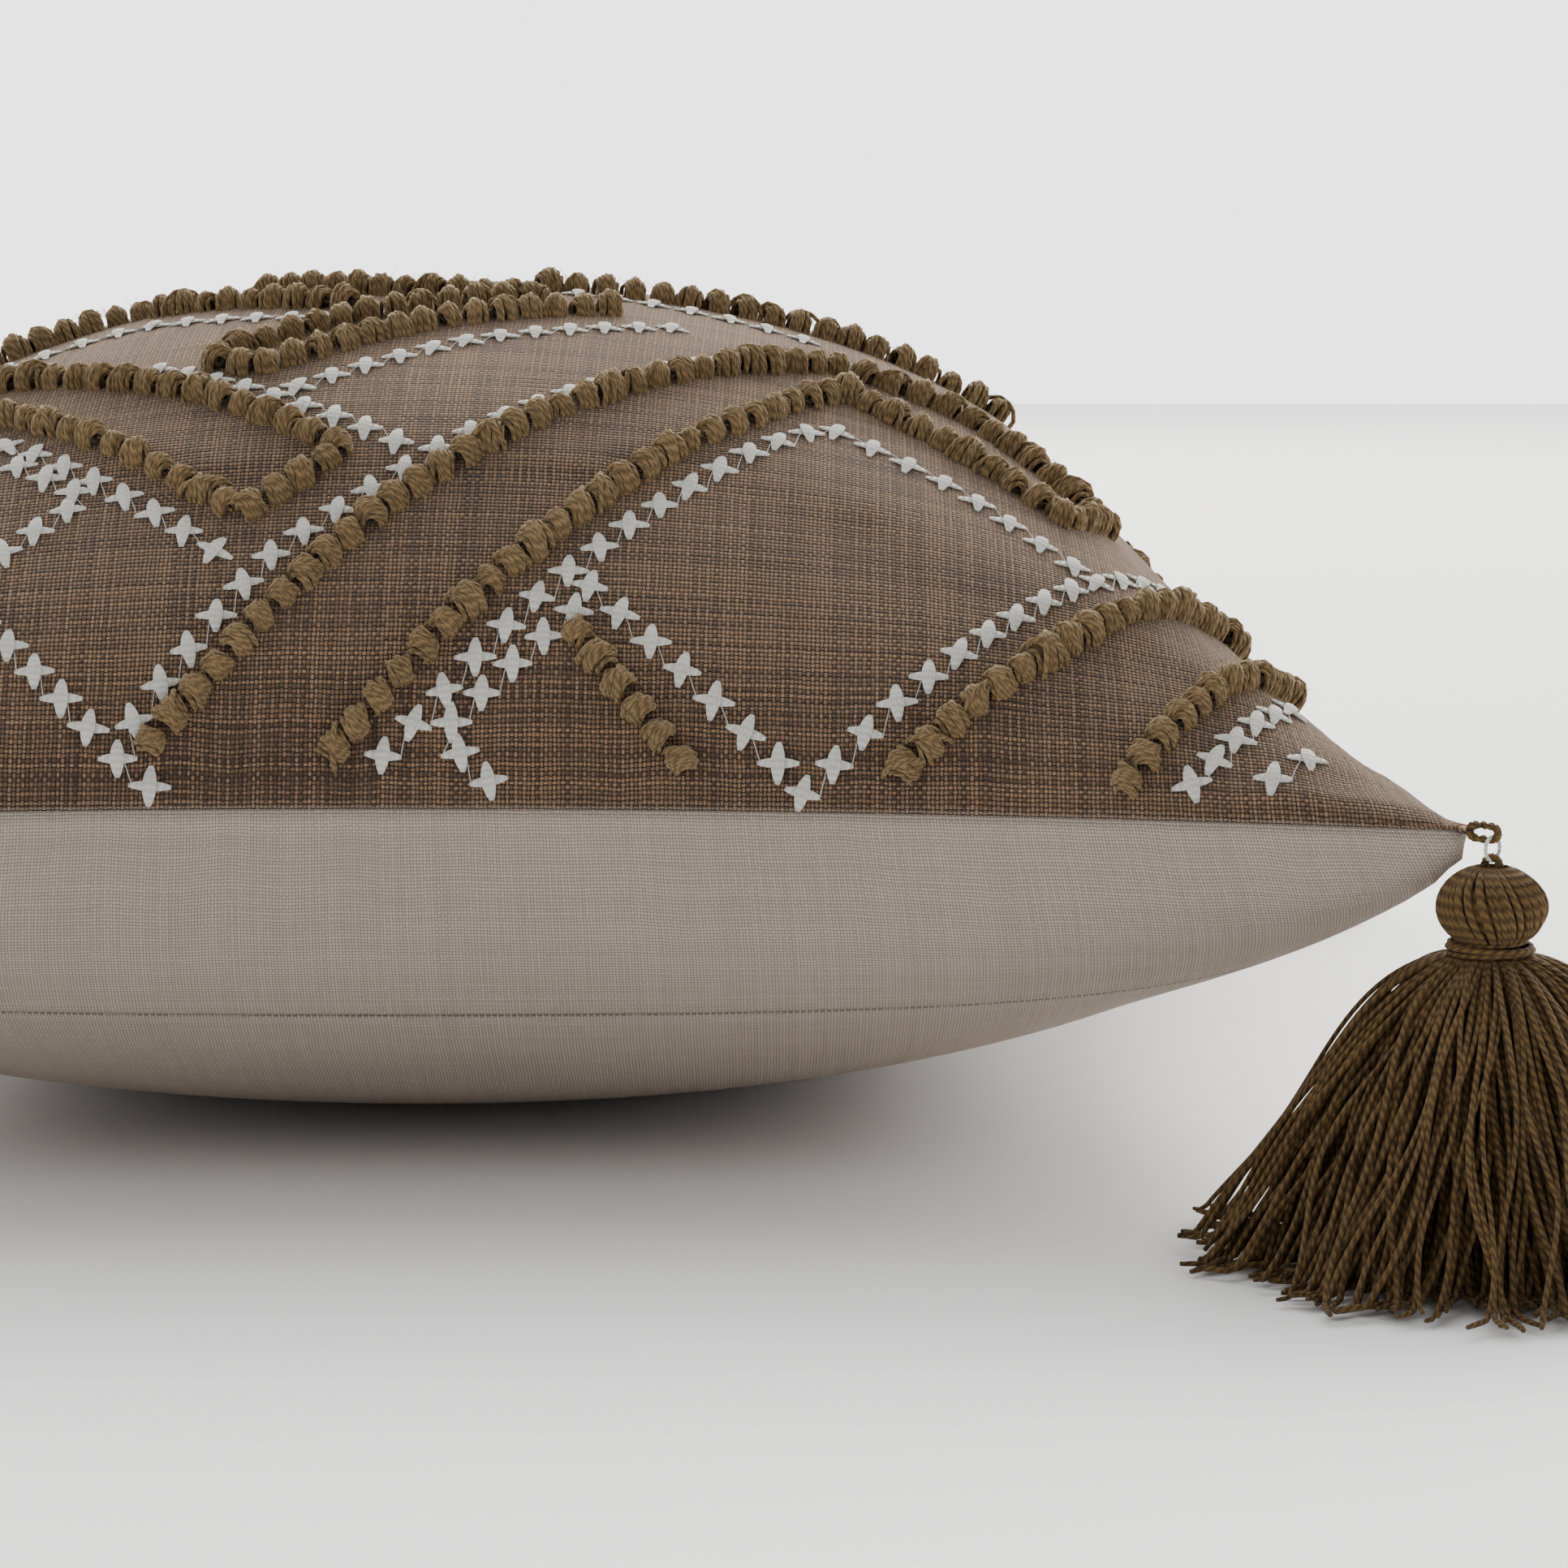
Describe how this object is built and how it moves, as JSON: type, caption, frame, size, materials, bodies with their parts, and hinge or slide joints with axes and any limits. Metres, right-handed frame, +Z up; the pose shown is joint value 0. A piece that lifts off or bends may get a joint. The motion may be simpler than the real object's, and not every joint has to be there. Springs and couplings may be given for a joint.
{
  "type": "throw pillow",
  "caption": "Plump square throw pillow with an embroidered woven front, canvas back, concealed zipper, filled insert and yarn corner tassels.",
  "frame": {"origin": "on the floor under the middle of the pillow", "axes": "+Z up from the floor to the embroidered crown; +X along the edge beside the zipper, which is at -Y"},
  "size_m": [0.5468, 0.5468, 0.1985],
  "materials": {
    "embroidered_front": "brown slub plain weave with raised olive knots and off-white cross stitches",
    "canvas_back": "fine cream canvas",
    "olive_yarn": "two-ply olive brown cotton yarn, slightly fuzzy",
    "pale_thread": "off-white thread",
    "zip_tape": "woven cream zipper tape",
    "zip_teeth": "moulded nylon coil",
    "zip_metal": "plated zinc",
    "insert_cloth": "white non-woven insert cover",
    "fibre_fill": "loose white polyester fibre"
  },
  "bodies": {
    "cover": {"front_panel": "embroidered_front", "back_panel": "canvas_back", "back_strip": "canvas_back", "seam_overlock": "pale_thread", "insert_front": "insert_cloth", "insert_back": "insert_cloth", "fibre_fill": "fibre_fill", "zip_tape_main": "zip_tape", "zip_tape_strip": "zip_tape", "zip_teeth_main": "zip_teeth", "zip_teeth_strip": "zip_teeth", "zip_top_stop_main": "zip_metal", "zip_top_stop_strip": "zip_metal", "zip_bottom_stop": "zip_metal", "corner_loop_near_right": "olive_yarn", "corner_loop_near_left": "olive_yarn", "corner_loop_far_right": "olive_yarn", "corner_loop_far_left": "olive_yarn"},
    "zip_slider": {"zip_slider": "zip_metal"},
    "zip_pull": {"zip_pull": "zip_metal"},
    "link_near_right": {"link_thread_near_right": "pale_thread"},
    "tassel_near_right": {"hanging_loop_near_right": "olive_yarn", "tassel_head_near_right": "olive_yarn", "neck_binding_near_right": "olive_yarn", "tassel_skirt_near_right": "olive_yarn"},
    "link_near_left": {"link_thread_near_left": "pale_thread"},
    "tassel_near_left": {"hanging_loop_near_left": "olive_yarn", "tassel_head_near_left": "olive_yarn", "neck_binding_near_left": "olive_yarn", "tassel_skirt_near_left": "olive_yarn"},
    "link_far_right": {"link_thread_far_right": "pale_thread"},
    "tassel_far_right": {"hanging_loop_far_right": "olive_yarn", "tassel_head_far_right": "olive_yarn", "neck_binding_far_right": "olive_yarn", "tassel_skirt_far_right": "olive_yarn"},
    "link_far_left": {"link_thread_far_left": "pale_thread"},
    "tassel_far_left": {"hanging_loop_far_left": "olive_yarn", "tassel_head_far_left": "olive_yarn", "neck_binding_far_left": "olive_yarn", "tassel_skirt_far_left": "olive_yarn"}
  },
  "joints": [
    {"name": "zip_travel", "type": "hinge", "parent": "cover", "child": "zip_slider", "pos_m": [0, -0.79264, 0.47655], "axis": [0, -0.5773, -0.8165], "range_deg": [0, 19.2]},
    {"name": "pull_flip", "type": "hinge", "parent": "zip_slider", "child": "zip_pull", "pos_m": [-0.12631, -0.18689, 0.04416], "axis": [-0.1641, 0.6778, -0.7167], "range_deg": [0, 165]},
    {"name": "sway_near_right", "type": "hinge", "parent": "cover", "child": "link_near_right", "pos_m": [0.22797, -0.22797, 0.0862], "axis": [0.7071, -0.7071, 0], "range_deg": [-20, 20]},
    {"name": "swing_near_right", "type": "hinge", "parent": "link_near_right", "child": "tassel_near_right", "pos_m": [0.22797, -0.22797, 0.08225], "axis": [-0.7071, -0.7071, 0], "range_deg": [-2, 60]},
    {"name": "sway_near_left", "type": "hinge", "parent": "cover", "child": "link_near_left", "pos_m": [-0.22797, -0.22797, 0.0862], "axis": [-0.7071, -0.7071, 0], "range_deg": [-20, 20]},
    {"name": "swing_near_left", "type": "hinge", "parent": "link_near_left", "child": "tassel_near_left", "pos_m": [-0.22797, -0.22797, 0.08225], "axis": [-0.7071, 0.7071, 0], "range_deg": [-2, 60]},
    {"name": "sway_far_right", "type": "hinge", "parent": "cover", "child": "link_far_right", "pos_m": [0.22797, 0.22797, 0.0862], "axis": [0.7071, 0.7071, 0], "range_deg": [-20, 20]},
    {"name": "swing_far_right", "type": "hinge", "parent": "link_far_right", "child": "tassel_far_right", "pos_m": [0.22797, 0.22797, 0.08225], "axis": [0.7071, -0.7071, 0], "range_deg": [-2, 60]},
    {"name": "sway_far_left", "type": "hinge", "parent": "cover", "child": "link_far_left", "pos_m": [-0.22797, 0.22797, 0.0862], "axis": [-0.7071, 0.7071, 0], "range_deg": [-20, 20]},
    {"name": "swing_far_left", "type": "hinge", "parent": "link_far_left", "child": "tassel_far_left", "pos_m": [-0.22797, 0.22797, 0.08225], "axis": [0.7071, 0.7071, 0], "range_deg": [-2, 60]}
  ]
}
